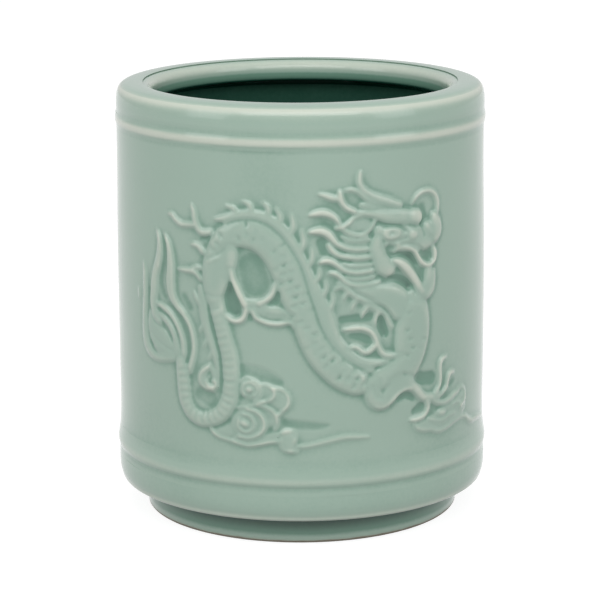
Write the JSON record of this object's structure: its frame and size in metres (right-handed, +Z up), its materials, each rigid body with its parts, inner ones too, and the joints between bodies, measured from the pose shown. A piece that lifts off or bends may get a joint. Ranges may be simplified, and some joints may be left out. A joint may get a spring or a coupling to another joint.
{
  "type": "brush pot",
  "caption": "Cylindrical celadon porcelain brush pot with a rolled rim collar, bead bands, a recessed foot ring and a low-relief dragon with clouds on the front.",
  "frame": {"origin": "centre of the foot's resting face, on the surface the pot stands on", "axes": "+Z up along the pot's axis, the dragon faces -Y and its head is towards +X"},
  "size_m": [0.1006, 0.1019, 0.1161],
  "materials": {
    "celadon_glaze": "glossy translucent green celadon glaze over porcelain",
    "relief_glaze": "the same glossy celadon glaze, thin and pale over the ridges",
    "foot_glaze_and_clay": "glossy glaze down to a wiped, matte bare clay edge"
  },
  "bodies": {
    "root": {"foot_ring": "foot_glaze_and_clay", "floor_disc": "celadon_glaze", "base_band": "celadon_glaze", "wall": "celadon_glaze", "lower_bead": "celadon_glaze", "upper_bead": "celadon_glaze", "rim_collar": "celadon_glaze", "whisker": "relief_glaze", "horn_long": "relief_glaze", "horn_forked": "relief_glaze", "nose": "relief_glaze", "brow": "relief_glaze", "ear": "relief_glaze", "lip": "relief_glaze", "jaw": "relief_glaze", "cheek": "relief_glaze", "face": "relief_glaze", "mane_lock_1": "relief_glaze", "mane_lock_2": "relief_glaze", "mane_lock_3": "relief_glaze", "mane_lock_4": "relief_glaze", "raised_claw": "relief_glaze", "fore_claw_1": "relief_glaze", "fore_claw_2": "relief_glaze", "fore_claw_3": "relief_glaze", "fore_claw_4": "relief_glaze", "hind_claw_1": "relief_glaze", "hind_claw_2": "relief_glaze", "hind_claw_3": "relief_glaze", "foreleg": "relief_glaze", "neck_spines": "relief_glaze", "chest": "relief_glaze", "dorsal_fin": "relief_glaze", "body_coil": "relief_glaze", "elbow_flame": "relief_glaze", "thigh": "relief_glaze", "tail": "relief_glaze", "tail_fin": "relief_glaze", "tail_plume": "relief_glaze", "cloud_curl": "relief_glaze", "cloud_scrolls": "relief_glaze", "cloud_knot": "relief_glaze", "cloud_wisp": "relief_glaze", "claw_cloud": "relief_glaze"}
  },
  "joints": []
}
